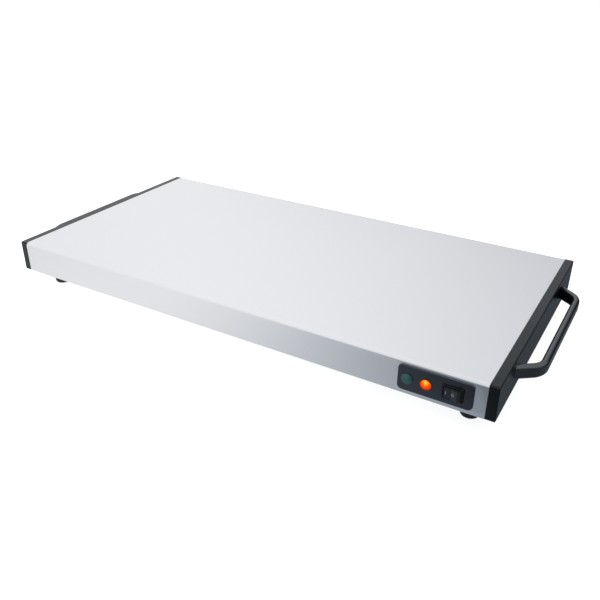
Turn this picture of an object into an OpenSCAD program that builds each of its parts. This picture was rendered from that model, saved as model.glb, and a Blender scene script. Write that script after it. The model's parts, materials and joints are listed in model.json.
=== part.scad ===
// Electric food warmer tray: a folded stainless plate between two moulded end caps, with bent loop
// handles, four feet, and a control panel with two lamps and a rocker switch.
// The origin is on the floor below the middle of the tray. X runs along the tray to the right,
// Y to the back and Z up. Sizes are in millimetres, and the switch is shown switched on.

/* [Warming plate] */
// Length of the steel between the end caps
plate_length = 600; // [560:10:700]
// Depth from the front wall to the back wall
plate_depth = 310; // [300:5:340]
// Height of the folded body, without its feet
body_height = 38.6; // [37:0.2:42]
// Thickness of the steel sheet
sheet = 0.8; // [0.6:0.1:1]
// Outer radius of the long top folds
fold_radius = 3.5; // [3:0.5:5]
// Width of the flanges that are folded in below
return_flange = 12; // [8:1:14]

/* [End caps] */
// How far a cap stands out past the steel
cap_length = 10; // [9:0.1:14]
// Radius of the cap's outer edge
cap_edge = 1.2; // [0.6:0.2:1.8]
// Thickness of the cap's walls
cap_wall = 2.5; // [2:0.1:3]
// Length of the spigot that fits inside the steel
spigot = 10; // [8:1:12]

/* [Handles] */
// Distance from the cap's face to the middle of the grip
handle_reach = 20.9; // [16:0.1:30]
// Half the distance between the corners of the handle's middle line
handle_corner_y = 79.6; // [60:0.1:90]
// Radius of the bends, on the middle line
handle_bend = 20.2; // [10:0.1:24]
// Thickness of the handle, seen from above
grip_thickness = 7.8; // [7:0.1:10]
// Height of the handle's section
grip_height = 15.4; // [12:0.1:18]

/* [Feet] */
// Height of the body above the floor
foot_height = 22; // [18:0.5:30]
// Radius of a foot at the floor
foot_radius = 9.5; // [8:0.5:10]

/* [Control panel] */
// Length of the panel
fascia_length = 74.5; // [74:0.5:80]
// Height of the panel
fascia_height = 28.5; // [28:0.1:30]
// How far the panel stands out from the front wall
fascia_proud = 1.5; // [1.2:0.1:2]
// Diameter of a lamp lens
lens_diameter = 12.4; // [12:0.1:13]
// Tilt of the rocker to each side of its middle position
rocker_tilt = 14; // [10:1:14]

/* [Heating] */
// Diameter of the sheathed element
element_diameter = 6.5; // [5.5:0.1:7]
// Straight runs of the element, an even number
element_rows = 6; // [4:2:6]
// Distance between two runs
row_pitch = 40; // [36:1:42]

/* [Hidden] */
$fn = 64;

half_length = plate_length / 2;
half_depth = plate_depth / 2;
gap = 0.15;                       // between pieces that slide into each other
bottom_fold = 1.5;                // outer radius of the bottom folds
plate_under = body_height - sheet;
floor_top = 2 * sheet;            // upper face of the bottom plate, which lies on the flanges

// End caps, as deep and as high as the steel
cap_corner = 2;
cap_face = 3.5;
cap_end_x = half_length + cap_length;
spigot_bottom = floor_top + gap;
spigot_top = plate_under - gap;
hollow_bottom = spigot_bottom + cap_wall;
hollow_top = spigot_top - cap_wall;
cap_ribs = [0, 35, 70, 130];
rib_thickness = 1.6;
base_screw_y = 52;
base_screw_x = half_length - spigot / 2;
base_boss_r = 3.6;
base_boss_height = 14;
base_screw_r = 1.5;

// Handles, whose middle line runs leg, grip, leg. The legs lean in along a 3-4-5 triangle.
handle_z = 21.7;
leg_slope = 3 / 4;
leg_angle = atan(leg_slope);
socket_depth = 4.6;
handle_x = cap_end_x + handle_reach;
root_x = cap_end_x - socket_depth;
root_y = handle_corner_y + (handle_x - root_x) * leg_slope;
handle_path = [[root_x, root_y], [handle_x, handle_corner_y],
               [handle_x, -handle_corner_y], [root_x, -root_y]];
boss_wall = 2.3;
boss_back = 6;
leg_screw_r = 1.75;
leg_screw_grip = 14;

// Feet
foot_inset_x = 21;
foot_inset_y = 31;
foot_top_radius = foot_radius + 1.5;
foot_edge = 2.5;
foot_well_r = 4.3;
foot_well = 12;
foot_screw_r = 2;
foot_total = foot_height + sheet;
feet_x = half_length - foot_inset_x;
feet_y = half_depth - foot_inset_y;

// Control panel: its frame has x to the right, y up and z out of the panel's face
panel_x = half_length - 48.95;
panel_z = body_height / 2;
fascia_corner = 5;
fascia_edge = 0.9;
cutout_length = fascia_length - 3.5;
cutout_height = fascia_height - 3.5;
skirt_wall = 1.2;
skirt_depth = 5;
controls_y = -0.6;
ready_lamp_x = -27.45;
heating_lamp_x = -8.35;
switch_x = 17.85;

// Lamps
lens_r = lens_diameter / 2;
lens_rim = 0.8;
dome_rise = 2.2;
dome_radius = (lens_r * lens_r + dome_rise * dome_rise) / (2 * dome_rise);
barrel_r = 5;
barrel_length = 9;
bulb_r = 2.8;
bulb_bore_r = 3.2;
lamp_body_length = 11;

// Rocker switch
bezel = [21, 15];
bezel_thickness = 1.5;
switch_body = [19.2, 13];
switch_depth = 15.5;
rocker_r = 8.7;
rocker_height = 11.2;
cavity_r = 9;
cavity_height = 11.6;
pivot_depth = 3;                  // from the bezel's face to the rocker's pivot
pivot_z = bezel_thickness - pivot_depth;
flush_rise = 0.8;                 // how far the pressed half stands above the bezel
valley = (pivot_depth + flush_rise) / cos(rocker_tilt);
rocker_slope = tan(rocker_tilt);
crest_u = (sqrt(rocker_r * rocker_r * (1 + rocker_slope * rocker_slope) - valley * valley)
           - valley * rocker_slope) / (1 + rocker_slope * rocker_slope);
crest_v = valley + crest_u * rocker_slope;
rocker_proud = pivot_z + rocker_r * sin(atan2(crest_v, crest_u) + rocker_tilt);
rocker_back = 2.5;
trunnion_r = 1.2;
trunnion_bore_r = 1.25;
guide_r = 2.3;
guide_end = 5.2;
guide_bore_r = 1.4;
plunger_r = 1;
plunger_reach = 6;                // from the rocker's pivot to the middle of the plunger's tip
spring_seat = 1.4;
contact_ratio = 0.6;              // tilt of the contact for each degree of the rocker
contact_tilt = contact_ratio * rocker_tilt;
contact_thickness = 0.8;
contact_length = 13;
contact_width = 4.2;
contact_z = pivot_z - 7.7;
contact_pin_r = 0.7;
blade_x = 5.5;
blade = [0.8, 4.8];
blade_end = -22.5;

// Heating, from the underside of the plate downwards
spreader_thickness = 1.5;
spreader_under = plate_under - spreader_thickness;
element_r = element_diameter / 2;
clip_gap = 0.1;
clip_thickness = 0.8;
element_z = spreader_under - element_r - clip_gap;
turn_x = half_length - 40;
element_end_x = half_length - 55;
clip_columns = [-150, 0, 150];
board_top = element_z - element_r - clip_gap - clip_thickness;
board_thickness = 11;
press_z = board_top - board_thickness - sheet;
stud_columns = [-200, 0, 200];
stud_rows = [1 - element_rows / 2, 0, element_rows / 2 - 1];
stud_r = 2;
stud_hole_r = 2.3;
nut_height = 3.2;
nut_r = 4;
thermostat_x = 100;
thermostat_r = 8;
window_r = 11;
fuse_x = 180;
fuse_y = -60;
fuse_r = 2.2;

// Supply
inlet_x = half_length - 50;
inlet_z = panel_z;
inlet_hole_r = 6.2;
inlet_bore_r = 3.6;
block_x = half_length - 85;
block_y = half_depth - 27;
block = [32, 16, 13];
poles = [-10, 0, 10];
wire_z = floor_top + 6.5;
lead_r = 1.1;
earth_x = half_length - 50;
earth_y = half_depth - 55;
lead_side = [1, 2, 3];

// ---------------------------------------------------------------- shared forms

module raised() translate([0, 0, foot_height]) children();

module along_x(length) rotate([90, 0, 90]) linear_extrude(length, center = true) children();

// Quarter disc in the first quadrant
module quarter(r) {
    intersection() {
        circle(r = r);
        square(r + 1);
    }
}

// Rectangle centred on x = 0 and standing on y = 0, with rounded top and bottom corners
module rounded_block(width, height, top_r, bottom_r) {
    side = max(top_r, bottom_r);
    translate([side - width / 2, 0]) square([width - 2 * side, height]);
    for (left = [0, 1]) mirror([left, 0]) translate([width / 2 - side, 0]) {
        translate([0, bottom_r]) square([side, height - bottom_r - top_r]);
        if (side > bottom_r) square([side - bottom_r, bottom_r]);
        if (side > top_r) translate([0, height - top_r]) square([side - top_r, top_r]);
        translate([side - bottom_r, bottom_r]) mirror([0, 1]) quarter(bottom_r);
        translate([side - top_r, height - top_r]) quarter(top_r);
    }
}

// Upright slot shape, centred, with half-round ends
module obround(width, height) {
    straight = height - width;
    translate([-width / 2, -straight / 2]) square([width, straight]);
    for (down = [0, 1]) mirror([0, down]) translate([0, straight / 2]) intersection() {
        circle(d = width);
        translate([-width, 0]) square([2 * width, width]);
    }
}

// Rim section of a plate: square at the foot, rounded at the outer top edge
module rim_section(reach, thickness, edge) {
    square([reach - edge, thickness]);
    translate([reach - edge, 0]) square([edge, thickness - edge]);
    translate([reach - edge, thickness - edge]) quarter(edge);
}

// Plate on z = 0 with round corners, whose rim section runs all the way round it
module rimmed_plate(length, width, corner_r, thickness, edge) {
    run_x = length - 2 * corner_r;
    run_y = width - 2 * corner_r;
    translate([-run_x / 2, -run_y / 2, 0]) cube([run_x, run_y, thickness]);
    for (flip = [0, 1]) {
        mirror([0, flip, 0]) translate([0, run_y / 2, 0]) along_x(run_x)
            rim_section(corner_r, thickness, edge);
        mirror([flip, 0, 0]) translate([run_x / 2, 0, 0]) rotate([90, 0, 0])
            linear_extrude(run_y, center = true) rim_section(corner_r, thickness, edge);
    }
    for (flip_x = [0, 1], flip_y = [0, 1])
        mirror([flip_x, 0, 0]) mirror([0, flip_y, 0]) translate([run_x / 2, run_y / 2, 0])
            rotate_extrude(angle = 90) rim_section(corner_r, thickness, edge);
}

function heading(a, b) = atan2(b[1] - a[1], b[0] - a[0]);
function wrapped(angle) = angle > 180 ? angle - 360 : angle < -180 ? angle + 360 : angle;
function turn(a, b, c) = wrapped(heading(b, c) - heading(a, b));
function trim_at(path, i, r) =
    i == 0 || i == len(path) - 1 ? 0 : r * tan(abs(turn(path[i - 1], path[i], path[i + 1])) / 2);

// Bend of up to a quarter turn about the Z axis, from the X axis round, with children() as section
module bend(angle, bend_r) {
    difference() {
        rotate_extrude(angle = 90) translate([bend_r, 0]) children();
        if (angle < 89.99) rotate([0, 0, angle]) translate([0, 0, -bend_r])
            cube([3 * bend_r, 3 * bend_r, 2 * bend_r]);
    }
}

// Bar bent in the XY plane: straight runs between the path's points, with an arc at each corner.
// children() is its section, with x to the left of the way it runs and y up.
module bent_bar(path, bend_r) {
    for (i = [0 : len(path) - 2]) {
        run = norm(path[i + 1] - path[i]) - trim_at(path, i, bend_r) - trim_at(path, i + 1, bend_r);
        if (run > 0.01)
            translate([path[i][0], path[i][1], 0]) rotate([0, 0, heading(path[i], path[i + 1])])
                translate([trim_at(path, i, bend_r), 0, 0]) rotate([90, 0, 90])
                    linear_extrude(run) children();
    }
    for (i = [1 : len(path) - 2]) {
        angle = turn(path[i - 1], path[i], path[i + 1]);
        translate([path[i][0], path[i][1], 0]) rotate([0, 0, heading(path[i - 1], path[i])])
            translate([-trim_at(path, i, bend_r), sign(angle) * bend_r, 0])
                rotate([0, 0, angle > 0 ? -90 : 90 + angle]) bend(abs(angle), bend_r) children();
    }
}

function unit(v) = v / norm(v);
function softened(p, passes) = passes == 0 ? p : softened(concat(
    [p[0]],
    [for (i = [0 : len(p) - 2]) each [0.75 * p[i] + 0.25 * p[i + 1], 0.25 * p[i] + 0.75 * p[i + 1]]],
    [p[len(p) - 1]]), passes - 1);
function travel(p, i) = unit(p[min(i + 1, len(p) - 1)] - p[max(i - 1, 0)]);
function ring(p, i, radius, sides, side) =
    let (t = travel(p, i), a = unit(cross(t, side)), b = cross(t, a))
    [for (k = [0 : sides - 1]) p[i] + radius * (cos(360 * k / sides) * a + sin(360 * k / sides) * b)];

// Round wire through a list of points, with flat ends
module wire(p, radius, sides, side) {
    last = len(p) - 1;
    walls = [for (i = [0 : last - 1], k = [0 : sides - 1])
        let (a = i * sides + k, b = i * sides + (k + 1) % sides)
        each [[a, a + sides, b + sides], [a, b + sides, b]]];
    polyhedron(
        points = [for (i = [0 : last]) each ring(p, i, radius, sides, side)],
        faces = concat(walls, [[for (k = [0 : sides - 1]) k]],
                       [[for (k = [sides - 1 : -1 : 0]) last * sides + k]]));
}

module lead(points) raised() wire(softened(points, 2), lead_r, 8, lead_side);

// Hexagon nut on z = 0
module nut(bore_r, height, r) {
    difference() {
        cylinder(r = r, h = height, $fn = 6);
        translate([0, 0, -1]) cylinder(r = bore_r, h = height + 2);
    }
}

// Pan-head screw whose shank points up from z = 0, with the head below
module pan_screw(shank_r, length, head_r, head_height) {
    cylinder(r = shank_r, h = length);
    translate([0, 0, -head_height]) cylinder(r = head_r, h = head_height);
}

// Saddle clip over a rod on the X axis, with its feet against a sheet above the rod
module saddle_clip(rod_r, length) {
    inner = rod_r + clip_gap;
    along_x(length) {
        translate([-inner - clip_thickness, -inner - clip_thickness])
            square([2 * (inner + clip_thickness), clip_thickness]);
        for (flip = [0, 1]) mirror([flip, 0]) {
            translate([inner, -inner]) square([clip_thickness, 2 * inner - clip_thickness]);
            translate([inner, inner - clip_thickness]) square([8, clip_thickness]);
        }
    }
}

// ---------------------------------------------------------------- casing

module shell_section() {
    mouth = plate_depth - 2 * return_flange;
    difference() {
        rounded_block(plate_depth, body_height, fold_radius, bottom_fold);
        translate([0, sheet])
            rounded_block(plate_depth - 2 * sheet, body_height - 2 * sheet,
                          fold_radius - sheet, bottom_fold - sheet);
        translate([-mouth / 2, -1]) square([mouth, sheet + 2]);
    }
}

module top_shell() color("gainsboro") {
    difference() {
        raised() along_x(plate_length) shell_section();
        at_panel(0, 0) translate([-cutout_length / 2, -cutout_height / 2, -5])
            cube([cutout_length, cutout_height, 8]);
        at_inlet() translate([0, 0, -5]) cylinder(r = inlet_hole_r, h = 10);
    }
}

module vent_row() {
    for (i = [-4 : 4]) translate([i * 14, 0]) obround(4, 34);
}

module bottom_plate() color("silver") raised() translate([0, 0, sheet]) {
    linear_extrude(sheet) difference() {
        square([plate_length - 2 * gap, plate_depth - 2 * bottom_fold - 2 * gap], center = true);
        for (x = [-1, 1], y = [-1, 1]) {
            translate([x * feet_x, y * feet_y]) circle(r = foot_screw_r + gap);
            translate([x * base_screw_x, y * base_screw_y]) circle(r = base_screw_r + gap);
        }
        for (x = [-150, 60], y = [-70, 70]) translate([x, y]) vent_row();
    }
}

module cap_frame() translate([half_length, 0, body_height / 2]) rotate([90, 0, 90]) children();

module cap_shell() {
    difference() {
        union() {
            cap_frame() rimmed_plate(plate_depth, body_height, cap_corner, cap_length, cap_edge);
            translate([half_length - spigot / 2, 0, spigot_bottom]) along_x(spigot)
                rounded_block(plate_depth - 2 * (sheet + gap), spigot_top - spigot_bottom,
                              fold_radius - sheet, 1);
        }
        translate([half_length - spigot - 1, -half_depth + sheet + gap + cap_wall, hollow_bottom])
            cube([spigot + 1 + cap_length - cap_face,
                  plate_depth - 2 * (sheet + gap + cap_wall), hollow_top - hollow_bottom]);
    }
}

// Frame of the back leg: x runs out along the leg from the floor of its socket
module leg_frame() translate([root_x, root_y, handle_z]) rotate([0, 0, -leg_angle]) children();

module leg_prism(start, length, grow) {
    leg_frame() translate([start, 0, 0]) rotate([90, 0, 90])
        linear_extrude(length) obround(grip_thickness + 2 * grow, grip_height + 2 * grow);
}

module leg_bore(start, length, r) {
    leg_frame() translate([start, 0, 0]) rotate([0, 90, 0]) cylinder(r = r, h = length);
}

module end_cap() color([0.1, 0.1, 0.11]) raised() {
    inside_x = cap_length - cap_face;
    difference() {
        union() {
            cap_shell();
            for (front = [0, 1]) mirror([0, front, 0]) {
                intersection() {
                    leg_prism(-boss_back, boss_back + 14, boss_wall);
                    translate([half_length - spigot, 0, hollow_bottom])
                        cube([spigot + inside_x + 0.5, half_depth - 10, hollow_top - hollow_bottom]);
                }
                translate([base_screw_x, base_screw_y, spigot_bottom + 1])
                    cylinder(r = base_boss_r, h = base_boss_height);
                for (y = cap_ribs) if (front == 0 || y > 0)
                    translate([half_length - 4, y - rib_thickness / 2, hollow_bottom - 0.5])
                        cube([4.5 + inside_x, rib_thickness, hollow_top - hollow_bottom + 1]);
            }
        }
        for (front = [0, 1]) mirror([0, front, 0]) {
            leg_prism(0, 30, gap);
            leg_bore(-boss_back - 5, boss_back + 6, leg_screw_r + 0.05);
            translate([base_screw_x, base_screw_y, 0]) cylinder(r = base_screw_r + 0.05, h = 13);
        }
    }
}

module right_end_cap() end_cap();
module left_end_cap() mirror([1, 0, 0]) end_cap();

// ---------------------------------------------------------------- handles and feet

module handle() color([0.13, 0.13, 0.14]) raised() {
    difference() {
        translate([0, 0, handle_z]) bent_bar(handle_path, handle_bend)
            obround(grip_thickness, grip_height);
        for (front = [0, 1]) mirror([0, front, 0])
            leg_bore(-1, leg_screw_grip + 2, leg_screw_r + 0.05);
    }
}

module right_handle() handle();
module left_handle() mirror([1, 0, 0]) handle();

module handle_screws() color("dimgray") raised() {
    for (left = [0, 1], front = [0, 1]) mirror([left, 0, 0]) mirror([0, front, 0])
        leg_frame() translate([-boss_back, 0, 0]) rotate([0, 90, 0])
            pan_screw(leg_screw_r, boss_back + leg_screw_grip, 3.4, 2.4);
}

module base_screws() color("gray") raised() {
    for (x = [-1, 1], y = [-1, 1])
        translate([x * base_screw_x, y * base_screw_y, sheet]) pan_screw(base_screw_r, 11, 2.8, 1.8);
}

module foot(x, y) color([0.12, 0.12, 0.12]) translate([x * feet_x, y * feet_y, 0]) {
    difference() {
        rotate_extrude() {
            square([foot_radius - foot_edge, foot_edge]);
            translate([foot_radius - foot_edge, foot_edge]) mirror([0, 1]) quarter(foot_edge);
            translate([0, foot_edge]) polygon([[0, 0], [foot_radius, 0],
                [foot_top_radius, foot_total - foot_edge], [0, foot_total - foot_edge]]);
        }
        translate([0, 0, -1]) cylinder(r = foot_well_r, h = foot_well + 1);
        translate([0, 0, foot_well - 1]) cylinder(r = foot_screw_r + 0.05, h = foot_total);
    }
}

module foot_front_left() foot(-1, -1);
module foot_front_right() foot(1, -1);
module foot_back_left() foot(-1, 1);
module foot_back_right() foot(1, 1);

module foot_screws() color("gray") {
    for (x = [-1, 1], y = [-1, 1]) translate([x * feet_x, y * feet_y, foot_well])
        pan_screw(foot_screw_r, foot_total - foot_well + sheet + 5, 3.8, 2.6);
}

module foot_nuts() color("gray") raised() {
    for (x = [-1, 1], y = [-1, 1]) translate([x * feet_x, y * feet_y, floor_top])
        nut(foot_screw_r + 0.05, nut_height, nut_r);
}

// ---------------------------------------------------------------- control panel

// Frame of the panel's face: x to the right, y up, z out of the panel
module at_panel(x, y) translate([panel_x + x, -half_depth - fascia_proud, foot_height + panel_z + y])
    rotate([90, 0, 0]) children();

module control_fascia() color([0.15, 0.15, 0.16]) at_panel(0, 0) {
    ledge = 1.4;
    difference() {
        union() {
            translate([0, 0, -fascia_proud])
                rimmed_plate(fascia_length, fascia_height, fascia_corner, fascia_proud, fascia_edge);
            translate([0, 0, -fascia_proud - skirt_depth]) linear_extrude(skirt_depth) difference() {
                square([cutout_length - 2 * gap, cutout_height - 2 * gap], center = true);
                square([cutout_length - 2 * gap - 2 * skirt_wall,
                        cutout_height - 2 * gap - 2 * skirt_wall], center = true);
            }
            for (flip = [0, 1], x = [-24, 24]) mirror([0, flip, 0])
                translate([x - 4, cutout_height / 2 - gap - 1, -fascia_proud - sheet - gap - 2])
                    cube([8, ledge + 1, 2]);
        }
        for (x = [ready_lamp_x, heating_lamp_x]) translate([x, controls_y, -5])
            cylinder(r = barrel_r + 0.1, h = 10);
        translate([switch_x - switch_body[0] / 2 - gap, controls_y - switch_body[1] / 2 - gap, -5])
            cube([switch_body[0] + 2 * gap, switch_body[1] + 2 * gap, 10]);
    }
}

module lamp_lens() {
    rotate_extrude() difference() {
        union() {
            square([lens_r, lens_rim]);
            intersection() {
                translate([0, lens_rim + dome_rise - dome_radius]) circle(r = dome_radius);
                translate([0, lens_rim]) square([lens_r + 1, dome_rise + 1]);
            }
            translate([0, -barrel_length]) square([barrel_r, barrel_length]);
        }
        translate([0, -barrel_length - 1]) square([bulb_bore_r, barrel_length + 1.8]);
    }
}

module ready_lamp_lens() color([0.1, 0.32, 0.28]) at_panel(ready_lamp_x, controls_y) lamp_lens();
module heating_lamp_lens() color([1, 0.5, 0.1]) at_panel(heating_lamp_x, controls_y) lamp_lens();

module at_lamps() for (x = [ready_lamp_x, heating_lamp_x]) at_panel(x, controls_y) children();

module lamp_clips() color("gray") at_lamps() translate([0, 0, -fascia_proud - 0.6]) difference() {
    cylinder(r = 6.4, h = 0.6);
    translate([0, 0, -1]) cylinder(r = barrel_r + 0.05, h = 3);
}

module lamp_bodies() color([0.2, 0.2, 0.2]) at_lamps() {
    translate([0, 0, -barrel_length - lamp_body_length]) {
        cylinder(r = barrel_r, h = lamp_body_length);
        for (x = [-2.2, 2.2]) translate([x - 0.3, -1.5, -6]) cube([0.6, 3, 6]);
    }
}

module neon_bulbs() color([1, 0.6, 0.35]) at_lamps() translate([0, 0, -barrel_length])
    rotate_extrude() {
        square([bulb_r, 6]);
        translate([0, 6]) quarter(bulb_r);
    }

// ---------------------------------------------------------------- rocker switch

module at_switch() at_panel(switch_x, controls_y) children();

module switch_housing() color([0.07, 0.07, 0.08]) at_switch() {
    difference() {
        union() {
            rimmed_plate(bezel[0], bezel[1], 1.5, bezel_thickness, 0.8);
            translate([-switch_body[0] / 2, -switch_body[1] / 2, -switch_depth])
                cube([switch_body[0], switch_body[1], switch_depth]);
        }
        translate([0, 0, pivot_z]) rotate([90, 0, 0]) {
            cylinder(r = cavity_r, h = cavity_height, center = true);
            cylinder(r = trunnion_bore_r, h = bezel[1] + 2, center = true);
        }
        translate([-8, -3.7, -14]) cube([16, 7.4, 8]);
        for (x = [0, blade_x]) translate([x - blade[0] / 2 - 0.05, -blade[1] / 2 - 0.05, -17])
            cube([blade[0] + 0.1, blade[1] + 0.1, 4]);
    }
}

// Frame of the rocker: its pivot is the Y axis, and z points out through its valley
module rocker_frame() at_switch() translate([0, 0, pivot_z]) rotate([0, -rocker_tilt, 0]) children();

module rocker_profile() {
    wing = rocker_r + 1;
    intersection() {
        circle(r = rocker_r);
        polygon([[-wing, -rocker_back], [wing, -rocker_back], [wing, valley + wing * rocker_slope],
                 [0, valley], [-wing, valley + wing * rocker_slope]]);
    }
}

module switch_rocker() color([0.09, 0.09, 0.1]) rocker_frame() difference() {
    union() {
        rotate([90, 0, 0]) {
            linear_extrude(rocker_height, center = true) rocker_profile();
            cylinder(r = trunnion_r, h = rocker_height + 1.6, center = true);
        }
        translate([0, 0, -guide_end]) cylinder(r = guide_r, h = guide_end - rocker_back + 1);
    }
    translate([0, 0, -guide_end - 1]) cylinder(r = guide_bore_r, h = guide_end + 1 + spring_seat);
}

module switch_plunger() color("ivory") rocker_frame() rotate_extrude() {
    translate([0, -plunger_reach]) mirror([0, 1]) quarter(plunger_r);
    translate([0, -plunger_reach]) square([plunger_r, plunger_reach - 3.1]);
    translate([0, -3.1]) square([1.3, 0.8]);
    translate([0, -2.3]) square([0.7, 1.8]);
}

spring_points = [for (a = [0 : 30 : 1440])
    [1.05 * cos(a), 1.05 * sin(a), -2.1 + 3.3 * a / 1440]];

module switch_spring() color("silver") rocker_frame() wire(spring_points, 0.17, 6, [0, 0, 1]);

module switch_contact() color("peru") at_switch() translate([0, 0, contact_z])
    rotate([0, contact_tilt, 0]) {
        translate([-contact_length / 2, -contact_width / 2, -contact_thickness / 2])
            cube([contact_length, contact_width, contact_thickness]);
        rotate([90, 0, 0]) cylinder(r = contact_pin_r, h = 6.4, center = true);
    }

module switch_common_terminal() color("goldenrod") at_switch() {
    bridge_z = contact_z - 2.2;
    difference() {
        union() {
            for (flip = [0, 1]) mirror([0, flip, 0]) translate([0, 2.4, 0]) {
                translate([-1.5, 0, bridge_z]) cube([3, 0.9, contact_z - bridge_z]);
                translate([0, 0.9, contact_z]) rotate([90, 0, 0]) cylinder(r = 1.5, h = 0.9);
            }
            translate([-1.5, -3.3, bridge_z - 0.8]) cube([3, 6.6, 0.8]);
            translate([-blade[0] / 2, -blade[1] / 2, blade_end])
                cube([blade[0], blade[1], bridge_z - 0.8 - blade_end]);
        }
        translate([0, 0, contact_z]) rotate([90, 0, 0])
            cylinder(r = contact_pin_r + 0.06, h = 10, center = true);
    }
}

module switch_live_terminal() color("goldenrod") at_switch() {
    contact_under = contact_z - blade_x * tan(contact_tilt) - contact_thickness / 2 / cos(contact_tilt);
    top = contact_under - 0.4;
    translate([blade_x - blade[0] / 2, -blade[1] / 2, blade_end])
        cube([blade[0], blade[1], top - blade_end]);
}

// ---------------------------------------------------------------- heating

module at_studs() for (x = stud_columns, y = stud_rows) translate([x, y * row_pitch]) children();

module stud_holes() at_studs() circle(r = stud_hole_r);

module heat_spreader() color("lightgray") raised() translate([0, 0, spreader_under]) {
    linear_extrude(spreader_thickness) difference() {
        square([2 * turn_x + 24, element_rows * row_pitch - 8], center = true);
        stud_holes();
    }
}

function row_y(i) = (i - (element_rows - 1) / 2) * row_pitch;
element_path = [for (i = [0 : element_rows - 1], end = [0, 1])
    let (right = (i + end) % 2 == 0, outer = (i == 0 && end == 0) || (i == element_rows - 1 && end == 1))
    [(right ? 1 : -1) * (outer ? element_end_x : turn_x), row_y(i)]];

module heating_element() color("dimgray") raised() translate([0, 0, element_z])
    bent_bar(element_path, row_pitch / 2) circle(r = element_r);

module at_element_ends() for (y = [row_y(0), row_y(element_rows - 1)])
    raised() translate([element_end_x, y, element_z]) rotate([0, 90, 0]) children();

module element_end_seals() color("ivory") at_element_ends() difference() {
    cylinder(r = 3, h = 6);
    translate([0, 0, -1]) cylinder(r = 1.3, h = 8);
}

module element_pins() color("silver") at_element_ends() cylinder(r = 1.25, h = 21);

module element_clips() color("lightgray") raised() {
    for (x = clip_columns, i = [0 : element_rows - 1])
        translate([x, row_y(i), element_z]) saddle_clip(element_r, 14);
}

module insulation_board() color("wheat") raised() translate([0, 0, board_top - board_thickness]) {
    linear_extrude(board_thickness) difference() {
        square([2 * turn_x + 12, element_rows * row_pitch - 16], center = true);
        stud_holes();
        translate([thermostat_x, 0]) circle(r = window_r);
    }
}

module press_plate() color("silver") raised() translate([0, 0, press_z]) {
    linear_extrude(sheet) difference() {
        square([2 * turn_x + 12, element_rows * row_pitch - 16], center = true);
        stud_holes();
        translate([thermostat_x, 0]) circle(r = window_r);
    }
}

module weld_studs() color("gray") raised() at_studs()
    translate([0, 0, press_z - nut_height - 1.2])
        cylinder(r = stud_r, h = plate_under - press_z + nut_height + 1.2);

module stud_nuts() color("gray") raised() at_studs()
    translate([0, 0, press_z - nut_height]) nut(stud_r + 0.05, nut_height, nut_r);

module thermostat() color("saddlebrown") raised() translate([thermostat_x, 0, spreader_under]) {
    mirror([0, 0, 1]) {
        linear_extrude(0.8) difference() {
            square([26, 12], center = true);
            for (x = [-10.5, 10.5]) translate([x, 0]) circle(r = 1.6);
        }
        translate([0, 0, 0.8]) cylinder(r = thermostat_r, h = 11);
        for (x = [-4, 4]) translate([x - 0.4, -2, 11.8]) cube([0.8, 4, 8]);
    }
}

module thermal_fuse() color("white") raised() translate([fuse_x, fuse_y, press_z - fuse_r - clip_gap])
    rotate([0, 90, 0]) {
        cylinder(r = fuse_r, h = 12, center = true);
        for (flip = [0, 1]) mirror([0, 0, flip]) translate([0, 0, 6])
            cylinder(r1 = fuse_r, r2 = 1.2, h = 3);
    }

module fuse_clip() color("silver") raised()
    translate([fuse_x, fuse_y, press_z - fuse_r - clip_gap]) saddle_clip(fuse_r, 6);

// ---------------------------------------------------------------- supply and wiring

module at_inlet() translate([inlet_x, half_depth, foot_height + inlet_z]) rotate([-90, 0, 0])
    children();

module cord_bushing() color([0.08, 0.08, 0.08]) at_inlet() {
    proud = fascia_proud + rocker_proud;
    rotate_extrude() difference() {
        union() {
            square([9, 2.5]);
            translate([0, 2.5]) polygon([[0, 0], [8, 0], [6.6, proud - 2.5], [0, proud - 2.5]]);
            translate([0, -10]) square([inlet_hole_r - 0.1, 10]);
            translate([0, -sheet - gap - 2]) square([7.4, 2]);
        }
        translate([0, -11]) square([inlet_bore_r, 12 + proud]);
    }
}

module terminal_block() color("ivory") raised() translate([block_x, block_y, floor_top]) {
    difference() {
        translate([-block[0] / 2, -block[1] / 2, 0]) cube(block);
        for (x = poles) translate([x, 0, wire_z - floor_top]) {
            rotate([90, 0, 0]) cylinder(r = 1.6, h = block[1] + 2, center = true);
            for (y = [-4.5, 4.5]) translate([0, y, 0]) cylinder(r = 2, h = 10);
        }
    }
}

module terminal_screws() color("goldenrod") raised() {
    for (x = poles, y = [-4.5, 4.5]) translate([block_x + x, block_y + y, wire_z + 1.7])
        cylinder(r = 1.9, h = 3.5);
}

module earth_stud() color("gray") raised() translate([earth_x, earth_y, floor_top])
    cylinder(r = 2, h = 9);

module earth_tag() color("silver") raised() translate([earth_x, earth_y, floor_top]) {
    difference() {
        union() {
            cylinder(r = 3.8, h = 0.8);
            translate([-9, -1.6, 0]) cube([8, 3.2, 0.8]);
        }
        translate([0, 0, -1]) cylinder(r = 2.05, h = 3);
    }
    translate([-9, -1.8, 0.8]) cube([3.5, 3.6, 2.4]);
}

module earth_nut() color("gray") raised() translate([earth_x, earth_y, floor_top + 0.8])
    nut(2.05, nut_height, 3.9);

function pole(i) = block_x + poles[i];
block_mouth = block_y - block[1] / 2 + 3;
// The wires' stations: in the panel's corner, along the right end and under the press plate
blade_y = -half_depth - fascia_proud - blade_end;
blade_z = panel_z + controls_y;
common_x = panel_x + switch_x;
live_x = common_x + blade_x;
low = floor_top + 4;
crossing = low + 3.6;             // where one lead passes over another
upper = crossing + 4.4;
thermostat_foot = spreader_under - 19.8;
pin_x = element_end_x + 21;
last_row_y = row_y(element_rows - 1);
end_x = half_length - 20;

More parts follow.
